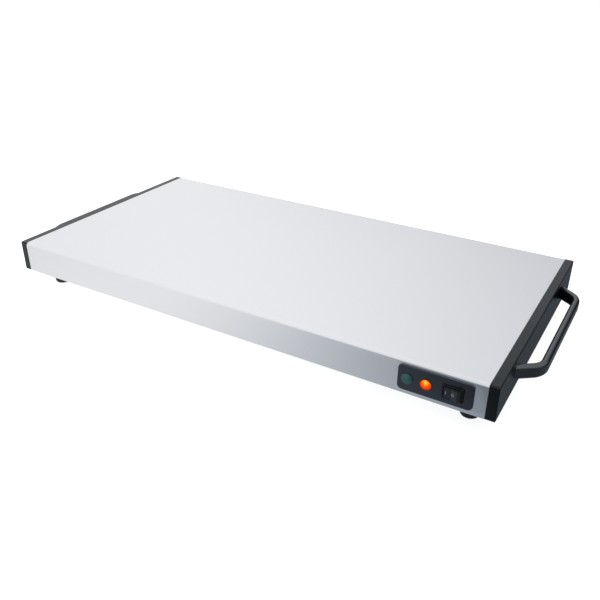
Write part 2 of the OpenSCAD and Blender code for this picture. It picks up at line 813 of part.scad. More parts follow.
module supply_lead() color("saddlebrown") lead([
    [pole(0), block_mouth, wire_z], [pole(0), block_mouth - 12, wire_z], [pole(0) + 4, 40, low],
    [pole(0) + 20, -60, low], [common_x, -105, low], [common_x, blade_y + 14, 12],
    [common_x, blade_y + 8, blade_z], [common_x, blade_y, blade_z]]);

module switched_lead() color("black") lead([
    [live_x, blade_y, blade_z], [live_x, blade_y + 8, blade_z], [live_x, blade_y + 14, 12],
    [live_x - 4, -95, crossing], [200, -36, crossing], [120, -12, low], [thermostat_x + 4, 0, low + 1],
    [thermostat_x + 4, 0, thermostat_foot]]);

module fuse_lead() color("black") lead([
    [thermostat_x - 4, 0, thermostat_foot], [thermostat_x - 4, 0, low + 2],
    [thermostat_x - 4, -30, low + 1], [120, fuse_y, low + 2],
    [fuse_x - 24, fuse_y, press_z - fuse_r - clip_gap],
    [fuse_x - 9, fuse_y, press_z - fuse_r - clip_gap]]);

module element_lead() color("black") lead([
    [fuse_x + 9, fuse_y, press_z - fuse_r - clip_gap], [fuse_x + 24, fuse_y, press_z - fuse_r - clip_gap],
    [235, -78, upper], [end_x - 2, row_y(0), upper], [end_x + 1, row_y(0), 24],
    [end_x - 4, row_y(0), element_z], [pin_x, row_y(0), element_z]]);

module neutral_lead() color("steelblue") lead([
    [pole(1), block_mouth, wire_z], [pole(1), block_mouth - 14, wire_z], [240, 92, upper],
    [end_x - 2, last_row_y, upper], [end_x + 1, last_row_y, 24], [end_x - 4, last_row_y, element_z],
    [pin_x, last_row_y, element_z]]);

module earth_lead() color("yellowgreen") lead([
    [pole(2), block_mouth, wire_z], [pole(2), block_mouth - 8, wire_z], [pole(2) + 2, earth_y + 3, 3.8],
    [earth_x - 14, earth_y, 3.6], [earth_x - 9, earth_y, 3.6]]);

// ---------------------------------------------------------------- the assembly

top_shell();
bottom_plate();
left_end_cap();
right_end_cap();
left_handle();
right_handle();
handle_screws();
base_screws();
foot_front_left();
foot_front_right();
foot_back_left();
foot_back_right();
foot_screws();
foot_nuts();
control_fascia();
ready_lamp_lens();
heating_lamp_lens();
lamp_clips();
lamp_bodies();
neon_bulbs();
switch_housing();
switch_rocker();
switch_plunger();
switch_spring();
switch_contact();
switch_common_terminal();
switch_live_terminal();
heat_spreader();
heating_element();
element_clips();
element_end_seals();
element_pins();
insulation_board();
press_plate();
weld_studs();
stud_nuts();
thermostat();
thermal_fuse();
fuse_clip();
terminal_block();
terminal_screws();
earth_stud();
earth_tag();
earth_nut();
supply_lead();
switched_lead();
fuse_lead();
element_lead();
neutral_lead();
earth_lead();
cord_bushing();
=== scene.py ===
"""Looks of the electric food warmer tray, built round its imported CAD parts.

The folded steel skin, the end caps, the bent handles, the control panel, the lamp lenses and the
feet are modelled here at the sizes of the CAD parts. Every other part keeps its CAD mesh and gets
the finish of its material slot. Sizes are in millimetres, and in metres for the studio alone.
"""

import json
import logging
import math
from abc import ABC, abstractmethod
from collections.abc import Callable, Mapping, Sequence
from dataclasses import dataclass
from enum import Enum
from typing import Any

import bmesh
import bpy
from mathutils import Matrix, Vector


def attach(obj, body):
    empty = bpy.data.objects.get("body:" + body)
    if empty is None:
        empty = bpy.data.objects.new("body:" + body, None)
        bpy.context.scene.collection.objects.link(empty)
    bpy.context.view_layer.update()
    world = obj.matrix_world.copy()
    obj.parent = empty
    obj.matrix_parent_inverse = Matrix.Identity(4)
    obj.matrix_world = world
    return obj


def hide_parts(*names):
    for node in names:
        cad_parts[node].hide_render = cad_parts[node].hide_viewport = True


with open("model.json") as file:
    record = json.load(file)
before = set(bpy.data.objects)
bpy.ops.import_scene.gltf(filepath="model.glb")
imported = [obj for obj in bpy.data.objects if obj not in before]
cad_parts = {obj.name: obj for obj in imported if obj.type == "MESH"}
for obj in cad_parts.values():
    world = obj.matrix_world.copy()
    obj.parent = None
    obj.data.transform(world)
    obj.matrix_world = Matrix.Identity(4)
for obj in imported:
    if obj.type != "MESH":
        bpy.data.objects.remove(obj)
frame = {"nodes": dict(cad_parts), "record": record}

LOG = logging.getLogger("tray")
MM = 0.001
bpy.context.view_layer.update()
SQUARE = 0.99  # the least share along an axis of the unit vector of what counts as along it
NEAR = 0.01  # how close to a level counts as at it

Colour = tuple[float, float, float, float]
Triple = tuple[float, float, float]
Pair = tuple[float, float]
Socket = bpy.types.NodeSocket
Edge, Face, Vert = bmesh.types.BMEdge, bmesh.types.BMFace, bmesh.types.BMVert
Test = Callable[[Vector], bool]

WHITE: Colour = (1.0, 1.0, 1.0, 1.0)


class Body(Enum):
    """The CAD bodies that the new pieces ride on."""

    TRAY = "tray"
    ROCKER = "rocker"


class Side(Enum):
    """The two ends of the tray, with the sign of X there."""

    LEFT = -1
    RIGHT = 1


class Axis(Enum):
    """The axes of the model."""

    X = 0
    Y = 1
    Z = 2


def shade(red: int, green: int, blue: int) -> Colour:
    """Turns a colour as seen on a screen into the linear one that shaders take.

    Args:
        red: Red from 0 to 255.
        green: Green from 0 to 255.
        blue: Blue from 0 to 255.

    Returns:
        The linear colour, with full opacity.
    """

    def linear(level: int) -> float:
        """Straightens one channel."""
        value = level / 255
        return value / 12.92 if value <= 0.04045 else ((value + 0.055) / 1.055) ** 2.4

    return linear(red), linear(green), linear(blue), 1.0


def darker(colour: Colour, share: float) -> Colour:
    """Gives a share of a colour's brightness."""
    return colour[0] * share, colour[1] * share, colour[2] * share, 1.0


# ---- shader maths


class Field:
    """A number that varies over a surface; arithmetic on it adds Math nodes."""

    def __init__(self, graph: "Graph", socket: Socket) -> None:
        """Keeps the socket that carries the number."""
        self.graph = graph
        self.socket = socket

    def __add__(self, other: "Field | float") -> "Field":
        """Adds a field or a number."""
        return self.graph.math("ADD", self, other)

    __radd__ = __add__

    def __sub__(self, other: "Field | float") -> "Field":
        """Takes a field or a number away."""
        return self.graph.math("SUBTRACT", self, other)

    def __rsub__(self, other: float) -> "Field":
        """Takes this field away from a number."""
        return self.graph.math("SUBTRACT", other, self)

    def __mul__(self, other: "Field | float") -> "Field":
        """Multiplies by a field or a number."""
        return self.graph.math("MULTIPLY", self, other)

    __rmul__ = __mul__

    def __pow__(self, power: float) -> "Field":
        """Raises to a power."""
        return self.graph.math("POWER", self, power)


class Graph:
    """The nodes of one material or world, all added by one method."""

    def __init__(self, tree: bpy.types.NodeTree) -> None:
        """Empties the tree that the nodes go into."""
        tree.nodes.clear()
        self.tree = tree

    def add(
        self,
        kind: str,
        settings: Mapping[str, Any] | None = None,
        sockets: Mapping[str | int, Any] | None = None,
    ) -> bpy.types.Node:
        """Adds a node.

        Args:
            kind: The node's type.
            settings: Its settings, set first; "stops" are a colour ramp's positions and colours.
            sockets: The value or link of each input, by name or number.

        Returns:
            The new node.
        """
        node = self.tree.nodes.new(kind)
        for name, value in (settings or {}).items():
            if name == "stops":
                self._set_stops(node, value)
            else:
                setattr(node, name, value)
        for name, value in (sockets or {}).items():
            source = value.socket if isinstance(value, Field) else value
            if isinstance(source, Socket):
                self.tree.links.new(source, node.inputs[name])
            else:
                node.inputs[name].default_value = source
        return node

    @staticmethod
    def _set_stops(node: bpy.types.Node, stops: Sequence[tuple[float, Colour]]) -> None:
        """Gives a colour ramp its stops.

        Args:
            node: The colour ramp.
            stops: The position and the colour of each stop.
        """
        elements = node.color_ramp.elements
        while len(elements) < len(stops):
            elements.new(1.0)
        for element, (position, colour) in zip(elements, stops):
            element.position = position
            element.color = colour

    def math(self, operation: str, *values: Field | float) -> Field:
        """Adds a Math node on one value or more."""
        node = self.add("ShaderNodeMath", {"operation": operation}, dict(enumerate(values)))
        return Field(self, node.outputs[0])

    def ramp(self, field: Field, low: float, high: float) -> Field:
        """Takes a field smoothly from 0 to 1.

        Args:
            field: The field.
            low: Its value where the step starts.
            high: Its value where the step ends.

        Returns:
            The stepped field, held from 0 to 1.
        """
        settings = {"interpolation_type": "SMOOTHSTEP", "clamp": True}
        sockets = {"Value": field, "From Min": low, "From Max": high}
        return Field(self, self.add("ShaderNodeMapRange", settings, sockets).outputs["Result"])

    def place(self) -> Socket:
        """Gives the point on the surface in the model's frame."""
        return self.add("ShaderNodeTexCoord").outputs["Object"]

    def moved(self, centre: Triple, turned: Triple = (0, 0, 0)) -> Socket:
        """Gives the point on the surface from a centre, in millimetres, turned about it.

        Args:
            centre: The centre of the pattern in millimetres.
            turned: The turn about X, Y and Z in degrees.

        Returns:
            The socket with the moved point.
        """
        shift = {0: self.place(), 1: tuple(value * MM for value in centre)}
        start = self.add("ShaderNodeVectorMath", {"operation": "SUBTRACT"}, shift).outputs[0]
        return self.mapped(start, (1 / MM,) * 3, turned)

    def mapped(self, vector: Socket, scale: Triple, turned: Triple = (0, 0, 0)) -> Socket:
        """Scales and turns a point.

        Args:
            vector: The point.
            scale: What it is scaled by along X, Y and Z.
            turned: Its turn about X, Y and Z in degrees.

        Returns:
            The new point.
        """
        turns = tuple(math.radians(angle) for angle in turned)
        sockets = {"Vector": vector, "Rotation": turns, "Scale": scale}
        return self.add("ShaderNodeMapping", {"vector_type": "POINT"}, sockets).outputs[0]

    def parts(self, vector: Socket) -> tuple[Field, Field, Field]:
        """Splits a vector into its three numbers."""
        found = self.add("ShaderNodeSeparateXYZ", None, {0: vector}).outputs
        return Field(self, found[0]), Field(self, found[1]), Field(self, found[2])

    def rays(self, *kinds: str) -> Field:
        """Tells rays of one or two kinds from all others.

        Args:
            *kinds: The kinds, such as "Camera".

        Returns:
            The field that is 1 for them.
        """
        path = self.add("ShaderNodeLightPath")
        found = [Field(self, path.outputs[f"Is {kind} Ray"]) for kind in kinds]
        return found[0] if len(found) == 1 else self.math("MAXIMUM", *found)

    def toward(self, way: Socket, aim: Triple) -> Field:
        """Gives the dot product of a direction and an aim."""
        node = self.add("ShaderNodeVectorMath", {"operation": "DOT_PRODUCT"}, {0: way, 1: aim})
        return Field(self, node.outputs["Value"])

    def noise(self, grain: Triple, detail: float = 2.0, roughness: float = 0.5) -> Field:
        """Gives noise whose lumps have a size in millimetres along each axis.

        Args:
            grain: The size of the lumps along X, Y and Z in millimetres.
            detail: How many finer layers lie on it.
            roughness: How strong the finer layers are.

        Returns:
            The noise, about 0.5 on average.
        """
        point = self.mapped(self.place(), tuple(1 / (size * MM) for size in grain))
        sockets = {"Vector": point, "Scale": 1.0, "Detail": detail, "Roughness": roughness}
        node = self.add("ShaderNodeTexNoise", {"noise_dimensions": "3D"}, sockets)
        return Field(self, node.outputs["Fac"])

    def mix(self, factor: Field, first: Colour | Socket, second: Colour | Socket) -> Socket:
        """Mixes two colours by a field."""
        settings = {"data_type": "RGBA", "blend_type": "MIX", "clamp_factor": True}
        return self.add("ShaderNodeMix", settings, {0: factor, 6: first, 7: second}).outputs[2]

    def bump(self, height: Field, depth: float, strength: float = 1.0) -> Socket:
        """Turns a height field into a normal.

        Args:
            height: The field, from 0 to 1.
            depth: How deep the relief is, in millimetres.
            strength: The share of the relief that shows.

        Returns:
            The socket with the normal.
        """
        node = self.add(
            "ShaderNodeBump", None, {"Strength": strength, "Distance": depth * MM, "Height": height}
        )
        return node.outputs[0]

    def surface(self, **inputs: Any) -> None:
        """Ends the material in a Principled BSDF.

        Args:
            **inputs: Its inputs, with underscores for the spaces in their names.
        """
        named = {name.replace("_", " "): value for name, value in inputs.items()}
        shader = self.add("ShaderNodeBsdfPrincipled", None, named)
        self.add("ShaderNodeOutputMaterial", None, {"Surface": shader.outputs[0]})


# ---- finishes


def new_material(name: str) -> tuple[bpy.types.Material, Graph]:
    """Starts an empty material with nodes.

    Args:
        name: Its name.

    Returns:
        The material and its graph.
    """
    made = bpy.data.materials.new(name)
    made.use_nodes = True
    return made, Graph(made.node_tree)


class Finish(ABC):
    """The look of one kind of surface."""

    def material(self, name: str) -> bpy.types.Material:
        """Makes the material.

        Args:
            name: Its name.

        Returns:
            The material.
        """
        made, graph = new_material(name)
        self.paint(graph)
        return made

    @abstractmethod
    def paint(self, graph: Graph) -> None:
        """Adds the nodes of the finish.

        Args:
            graph: The graph of the material.
        """


@dataclass(frozen=True)
class BrushedSteel(Finish):
    """Stainless sheet brushed lengthwise, with a satin gloss."""

    colour: Colour = shade(236, 237, 240)
    roughness: float = 0.32  # its middle roughness
    stroke: float = 60.0  # length of a brush stroke along X
    width: float = 0.45  # width of a stroke
    depth: float = 0.004  # depth of a stroke

    def paint(self, graph: Graph) -> None:
        """Adds the nodes of the finish.

        Args:
            graph: The graph of the material.
        """
        strokes = graph.noise((self.stroke, self.width, self.width), 3.0, 0.6)
        cloud = graph.noise((90.0, 60.0, 60.0), 1.0)
        tone = strokes * 0.7 + cloud * 0.3
        graph.surface(
            Base_Color=graph.mix(tone, darker(self.colour, 0.95), self.colour),
            Metallic=1.0,
            Roughness=strokes * 0.10 + cloud * 0.06 + (self.roughness - 0.08),
            Normal=graph.bump(strokes, self.depth, 0.35),
        )


@dataclass(frozen=True)
class WorkedMetal(Finish):
    """Plain metal of a fastener, a strip or a pressed sheet."""

    colour: Colour
    roughness: float = 0.35  # its middle roughness
    patch: float = 6.0  # size of the patches in its tone
    contrast: float = 0.18  # how far the patches differ in tone
    scratch: float = 0.01  # depth of its fine scratches

    def paint(self, graph: Graph) -> None:
        """Adds the nodes of the finish.

        Args:
            graph: The graph of the material.
        """
        patches = graph.noise((self.patch,) * 3, 3.0, 0.6)
        scratches = graph.noise((4.0, 0.3, 0.3), 2.0, 0.7)
        graph.surface(
            Base_Color=graph.mix(patches, darker(self.colour, 1 - self.contrast), self.colour),
            Metallic=1.0,
            Roughness=patches * 0.2 + (self.roughness - 0.1),
            Normal=graph.bump(scratches, self.scratch, 0.5),
        )


@dataclass(frozen=True)
class MouldedPlastic(Finish):
    """Moulded plastic or rubber with a fine spark-eroded grain."""

    colour: Colour
    roughness: float = 0.45  # its middle roughness
    grain: float = 0.5  # size of the grain
    depth: float = 0.02  # depth of the grain
    gloss: float = 0.5  # strength of its plain reflection
    wear: float = 0.25  # the share by which rubbed patches are lighter
    index: float = 1.5  # its refractive index
    tint: Colour = WHITE  # the tint of its reflection

    def paint(self, graph: Graph) -> None:
        """Adds the nodes of the finish.

        Args:
            graph: The graph of the material.
        """
        pits = graph.noise((self.grain,) * 3, 2.0, 0.6)
        rubbed = graph.noise((28.0, 28.0, 28.0), 3.0, 0.55)
        light = tuple(min(1.0, level * (1 + self.wear) + 0.002) for level in self.colour[:3])
        graph.surface(
            Base_Color=graph.mix(rubbed * 0.6 + pits * 0.4, self.colour, (*light, 1.0)),
            Roughness=rubbed * 0.10 + pits * 0.08 + (self.roughness - 0.09),
            IOR=self.index,
            Specular_IOR_Level=self.gloss,
            Specular_Tint=self.tint,
            Normal=graph.bump(pits, self.depth, 0.6),
        )


@dataclass(frozen=True)
class PressedFibre(Finish):
    """Insulating board of pressed mineral fibre."""

    colour: Colour
    fleck: Colour  # the colour of the darker fibres

    def paint(self, graph: Graph) -> None:
        """Adds the nodes of the finish.

        Args:
            graph: The graph of the material.
        """
        fibres = graph.noise((6.0, 0.8, 0.8), 4.0, 0.7)
        lumps = graph.noise((3.0, 3.0, 3.0), 3.0)
        graph.surface(
            Base_Color=graph.mix(graph.ramp(fibres, 0.45, 0.7), self.colour, self.fleck),
            Roughness=lumps * 0.1 + 0.85,
            Normal=graph.bump(fibres * 0.5 + lumps * 0.5, 0.3, 0.6),
        )


@dataclass(frozen=True)
class StripedSleeve(Finish):
    """Insulation of the earth lead, with a second colour wound round it."""

    colour: Colour
    stripe: Colour  # the colour of the stripe
    pitch: float = 9.0  # distance between two turns of the stripe

    def paint(self, graph: Graph) -> None:
        """Adds the nodes of the finish.

        Args:
            graph: The graph of the material.
        """
        x, y, z = graph.parts(graph.moved((0, 0, 0)))
        wave = graph.math("SINE", (x + y + z * 0.5) * (2 * math.pi / self.pitch))
        film = graph.noise((5.0, 5.0, 5.0), 2.0)
        graph.surface(
            Base_Color=graph.mix(graph.ramp(wave, 0.2, 0.35), self.colour, self.stripe),
            Roughness=film * 0.1 + 0.4,
        )


@dataclass(frozen=True)
class LampLens(Finish):
    """Tinted lens of a signal lamp, with a prism pattern moulded inside its dome."""

    centre: Triple  # the middle of the lens, in millimetres
    # the tint from the brightest point outwards, as shares of the reach and colours
    stops: tuple[tuple[float, Colour], ...]
    hot_spot: Pair  # where the tint is brightest, to the right and up from the middle
    reach: float  # how far from there the last stop lies
    glow: float  # strength of its own light
    gloss: float  # strength of the plain reflection and of the coat
    prism: float = 1.7  # size of the prisms
    relief: float = 0.5  # depth of the prisms
    radius: float = 6.2  # radius of the lens
    fade: float = 1.5  # width of its dark outline

    def paint(self, graph: Graph) -> None:
        """Adds the nodes of the finish.

        Args:
            graph: The graph of the material.
        """
        x, _, z = graph.parts(graph.moved(self.centre))
        right, up = self.hot_spot
        away = ((x - right) ** 2.0 + (z - up) ** 2.0) ** 0.5 * (1 / self.reach)
        outline = graph.ramp((x**2.0 + z**2.0) ** 0.5, self.radius - self.fade, self.radius)
        prisms = graph.add(
            "ShaderNodeTexVoronoi",
            {"feature": "F1", "distance": "EUCLIDEAN"},
            {"Vector": graph.moved(self.centre, (0, 35, 0)), "Scale": 1 / self.prism},
        )
        cells = Field(graph, prisms.outputs["Distance"])
        tint = graph.add(
            "ShaderNodeValToRGB", {"stops": self.stops}, {"Fac": away + cells * 0.25 - 0.08}
        ).outputs[0]
        lit = graph.mix(outline, tint, self.stops[-1][1])
        graph.surface(
            Base_Color=lit,
            Roughness=cells * 0.15 + 0.16,
            Specular_IOR_Level=self.gloss,
            Coat_Weight=self.gloss * 0.6,
            Coat_Roughness=0.08,
            Emission_Color=lit,
            Emission_Strength=self.glow,
            Normal=graph.bump(cells, self.relief, 0.5),
        )


@dataclass(frozen=True)
class BulbGlass(Finish):
    """Thin glass of a neon bulb, slightly smoked by use."""

    colour: Colour = shade(244, 214, 196)

    def paint(self, graph: Graph) -> None:
        """Adds the nodes of the finish.

        Args:
            graph: The graph of the material.
        """
        smoke = graph.noise((3.0, 3.0, 3.0), 2.0)
        graph.surface(
            Base_Color=graph.mix(smoke, self.colour, darker(self.colour, 0.7)),
            Roughness=smoke * 0.1 + 0.05,
            Coat_Weight=0.6,
        )


PANEL_CENTRE: Triple = (251.05, -155.0, 41.3)
READY_LAMP: Triple = (223.6, -156.5, 40.7)
HEATING_LAMP: Triple = (242.7, -156.5, 40.7)
FOOT_X, FOOT_Y = 279.0, 124.0
COOL_GLOSS: Colour = (0.78, 0.90, 1.0, 1.0)

FINISHES: dict[str, Finish] = {
    "brushed_stainless": BrushedSteel(),
    "plated_sheet": WorkedMetal(shade(188, 190, 194), 0.42, 14.0),
    "cap_plastic": MouldedPlastic(shade(14, 16, 18), 0.28, 1.5, 0.22, 0.36, tint=COOL_GLOSS),
    "handle_plastic": MouldedPlastic(
        shade(7, 8, 9), 0.27, 0.8, 0.02, index=1.95, tint=(0.9, 0.95, 1.0, 1.0)
    ),
    "panel_plastic": MouldedPlastic(
        shade(8, 9, 10), 0.26, 0.5, 0.01, index=1.9, tint=(0.74, 0.84, 1.0, 1.0)
    ),
    "switch_plastic": MouldedPlastic(shade(9, 10, 11), 0.50, 0.4, 0.01, 0.3, tint=COOL_GLOSS),
    "rocker_plastic": MouldedPlastic(shade(38, 41, 43), 0.34, 0.4, 0.01, tint=COOL_GLOSS),
    "rocker_print": MouldedPlastic(shade(172, 174, 172), 0.45, 0.4, 0.01),
    "green_lens": LampLens(
        READY_LAMP,
        (
            (0.0, shade(30, 116, 98)),
            (0.35, shade(22, 88, 78)),
            (0.7, shade(22, 72, 68)),
            (1.0, shade(20, 44, 44)),
        ),
        hot_spot=(1.2, 0.8),
        reach=7.4,
        glow=0.14,
        gloss=0.45,
        fade=0.7,
    ),
    "amber_lens": LampLens(
        HEATING_LAMP,
        (
            (0.0, shade(255, 186, 66)),
            (0.22, shade(252, 152, 28)),
            (0.42, shade(222, 84, 2)),
            (0.75, shade(192, 44, 0)),
            (1.0, shade(70, 22, 12)),
        ),
        hot_spot=(0.2, 4.0),
        reach=10.0,
        glow=0.92,
        gloss=0.06,
    ),
    "neon_glass": BulbGlass(),
    "foot_rubber": MouldedPlastic(shade(24, 24, 26), 0.62, 0.9, 0.05, 0.4),
    "bushing_nylon": MouldedPlastic(shade(28, 28, 30), 0.5, 0.6, 0.02),
    "fastener_steel": WorkedMetal(shade(176, 178, 182), 0.34, 3.0),
    "aluminium_sheet": WorkedMetal(shade(206, 208, 211), 0.38, 24.0, 0.10),
    "element_sheath": WorkedMetal(shade(120, 112, 106), 0.46, 9.0, 0.35),
    "ceramic": MouldedPlastic(shade(232, 226, 212), 0.30, 0.8, 0.02, 0.5, 0.04),
    "mineral_board": PressedFibre(shade(214, 200, 168), shade(176, 156, 122)),
    "bakelite": MouldedPlastic(shade(58, 38, 28), 0.34, 0.8, 0.02, 0.5, 0.4),
    "brass": WorkedMetal(shade(206, 172, 98), 0.30, 3.0),
    "contact_copper": WorkedMetal(shade(198, 122, 86), 0.32, 2.0, 0.3),
    "spring_steel": WorkedMetal(shade(168, 170, 176), 0.28, 2.0),
    "acetal": MouldedPlastic(shade(226, 226, 222), 0.35, 0.8, 0.01, 0.5, 0.03),
    "brown_sleeve": MouldedPlastic(shade(104, 62, 38), 0.45, 1.2, 0.02, 0.4, 0.15),
    "black_sleeve": MouldedPlastic(shade(32, 32, 34), 0.45, 1.2, 0.02, 0.4, 0.3),
    "blue_sleeve": MouldedPlastic(shade(42, 86, 156), 0.45, 1.2, 0.02, 0.4, 0.15),
    "earth_sleeve": StripedSleeve(shade(70, 140, 58), shade(226, 206, 62)),
}


class Workshop:
    """Makes each finish once and dresses the parts that keep their CAD mesh."""

    def __init__(self) -> None:
        """Starts with no material made."""
        self.made: dict[str, bpy.types.Material] = {}

    def material(self, slot: str) -> bpy.types.Material:
        """Gives the material of a slot, made on first use.

        Args:
            slot: The material slot or the print.

        Returns:
            The material.
        """
        if slot not in self.made:
            self.made[slot] = FINISHES[slot].material(slot)
        return self.made[slot]

    def dress_cad_nodes(self) -> None:
        """Puts the finish of its slot on every CAD node."""
        for subpart in frame["record"]["subparts"]:
            node = frame["nodes"][subpart["node"]]
            made = self.material(subpart["material_slot"])
            if not node.material_slots:
                node.data.materials.append(made)
            for slot in node.material_slots:
                slot.material = made


# ---- the workpiece


class Workpiece:
    """One mesh in the making, shaped in millimetres by bmesh operators."""

    def __init__(self) -> None:
        """Starts with an empty mesh."""
        self.mesh = bmesh.new()

    def block(self, size: Triple, centre: Triple = (0, 0, 0)) -> None:
        """Adds a box of a size round a centre."""
        matrix = Matrix.Translation(centre) @ Matrix.Diagonal((*size, 1.0))
        bmesh.ops.create_cube(self.mesh, size=1.0, matrix=matrix)

    def drum(self, radius: float, top_radius: float, height: float, segments: int) -> None:
        """Adds an upright drum that stands on z = 0.

        Args:
            radius: Its radius at the foot.
            top_radius: Its radius at the top.
            height: Its height.
            segments: How many sides it has.
        """
        bmesh.ops.create_cone(
            self.mesh,
            cap_ends=True,
            segments=segments,
            radius1=radius,
            radius2=top_radius,
            depth=height,
            matrix=Matrix.Translation((0, 0, height / 2)),
        )

    def edges_along(self, axis: Axis, wanted: Test | None = None) -> list[Edge]:
        """Lists the edges that run along an axis.

        Args:
            axis: The axis.
            wanted: A test that the middle of an edge has to pass.

        Returns:
            The edges.
        """
        found = []
        for edge in self.mesh.edges:
            start, end = (vert.co for vert in edge.verts)
            runs = abs((end - start).normalized()[axis.value]) > SQUARE
            if runs and (wanted is None or wanted((start + end) / 2)):
                found.append(edge)
        return found

    def edges_at(self, axis: Axis, level: float) -> list[Edge]:
        """Lists the edges that lie at one level of an axis."""
        i = axis.value
        return [e for e in self.mesh.edges if all(abs(v.co[i] - level) < NEAR for v in e.verts)]

    def facing(self, axis: Axis, sign: int, wanted: Test | None = None) -> list[Face]:
        """Lists the faces that look along an axis.

        Args:
            axis: The axis.
            sign: 1 where they look up it, and -1 where they look down it.
            wanted: A test that the middle of a face has to pass.

        Returns:
            The faces.
        """
        self.mesh.normal_update()
        looking = [face for face in self.mesh.faces if face.normal[axis.value] * sign > SQUARE]
        return [face for face in looking if wanted is None or wanted(face.calc_center_median())]

    def flat(self, axis: Axis, sign: int) -> Face:
        """Gives the largest face that looks up or down an axis."""
        return max(self.facing(axis, sign), key=lambda face: face.calc_area())

    def round_off(self, edges: list[Edge], radius: float, segments: int) -> None:
        """Rounds edges off with a radius.

        Args:
            edges: The edges.
            radius: The radius.
            segments: How many flats make it up.
        """
        bmesh.ops.bevel(
            self.mesh,
            geom=edges,
            offset=radius,
            offset_type="OFFSET",
            segments=segments,
            profile=0.5,
            affect="EDGES",
            material=-1,
            clamp_overlap=True,
        )

    def inset(self, face: Face, width: float, depth: float = 0.0) -> None:
        """Insets a face, which stays as the inner one.

        Args:
            face: The face.
            width: Width of the border round it.
            depth: How far it is raised.
        """
        bmesh.ops.inset_region(
            self.mesh, faces=[face], thickness=width, depth=depth, use_even_offset=True
        )

    def push(self, face: Face, way: Triple) -> Face:
        """Extrudes one face.

        Args:
            face: The face to extrude.
            way: How far it goes along X, Y and Z.

        Returns:
            The face at the far end.
        """
        made = bmesh.ops.extrude_face_region(self.mesh, geom=[face])["geom"]
        moved = [item for item in made if isinstance(item, Vert)]
        bmesh.ops.translate(self.mesh, verts=moved, vec=way)
        bmesh.ops.delete(self.mesh, geom=[face], context="FACES_ONLY")
        return next(item for item in made if isinstance(item, Face))

    def cut(self, faces: list[Face], point: Triple, normal: Triple) -> None:
        """Cuts faces along a plane.

        Args:
            faces: The faces to cut.
            point: A point of the plane.
            normal: The plane's normal.
        """
        around = {edge for face in faces for edge in face.edges}
        corners = {vert for face in faces for vert in face.verts}
        bmesh.ops.bisect_plane(
            self.mesh, geom=[*faces, *around, *corners], plane_co=point, plane_no=normal
        )

    def drop(self, faces: list[Face]) -> None:
        """Deletes faces."""
        bmesh.ops.delete(self.mesh, geom=faces, context="FACES")

    def place(self, matrix: Matrix) -> None:
        """Moves, turns or scales the whole mesh."""
        bmesh.ops.transform(self.mesh, matrix=matrix, verts=self.mesh.verts)

    def mirror_to(self, side: Side) -> None:
        """Mirrors the whole mesh where it belongs to the left end."""
        if side is Side.LEFT:
            self.place(Matrix.Diagonal((-1, 1, 1, 1)))

    def finish(
        self,
        name: str,
        slot: str,
        workshop: Workshop,
        body: Body = Body.TRAY,
        replaced: Sequence[str] = (),
        wall: float = 0.0,
        crease: float = 35.0,
    ) -> None:
        """Turns the mesh into an object of the scene.

        Args:
            name: Name of the piece.
            slot: The material slot or the print that it takes its finish from.
            workshop: Where its material is made.
            body: The CAD body that it rides on.
            replaced: The CAD nodes that it stands for.
            wall: Thickness of the wall where the mesh is a sheet, inwards.
            crease: The angle from which an edge stays sharp, in degrees.
        """
        bmesh.ops.remove_doubles(self.mesh, verts=self.mesh.verts, dist=0.001)
        bmesh.ops.recalc_face_normals(self.mesh, faces=self.mesh.faces)
        self.place(Matrix.Scale(MM, 4))
        data = bpy.data.meshes.new(name)
        for face in self.mesh.faces:
            face.smooth = True
        self.mesh.to_mesh(data)
        self.mesh.free()
        data.set_sharp_from_angle(angle=math.radians(crease))
        made = bpy.data.objects.new(name, data)
        bpy.context.scene.collection.objects.link(made)
        if wall:
            shell = made.modifiers.new("wall", "SOLIDIFY")
            shell.thickness = wall * MM
            shell.offset = -1.0
            shell.use_even_offset = True
        smooth = made.modifiers.new("weights", "WEIGHTED_NORMAL")
        smooth.weight = 100
        smooth.keep_sharp = True
        data.materials.append(workshop.material(slot))
        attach(made, body.value)
        if replaced:
            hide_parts(*replaced)
        LOG.info("%s: %d faces", name, len(data.polygons))


def panel_place(centre: Triple) -> Matrix:
    """Gives the frame of something on the panel: x to the right, y up and z out of the panel."""
    return Matrix.Translation(centre) @ Matrix.Rotation(math.radians(90), 4, "X")


# ---- the casing


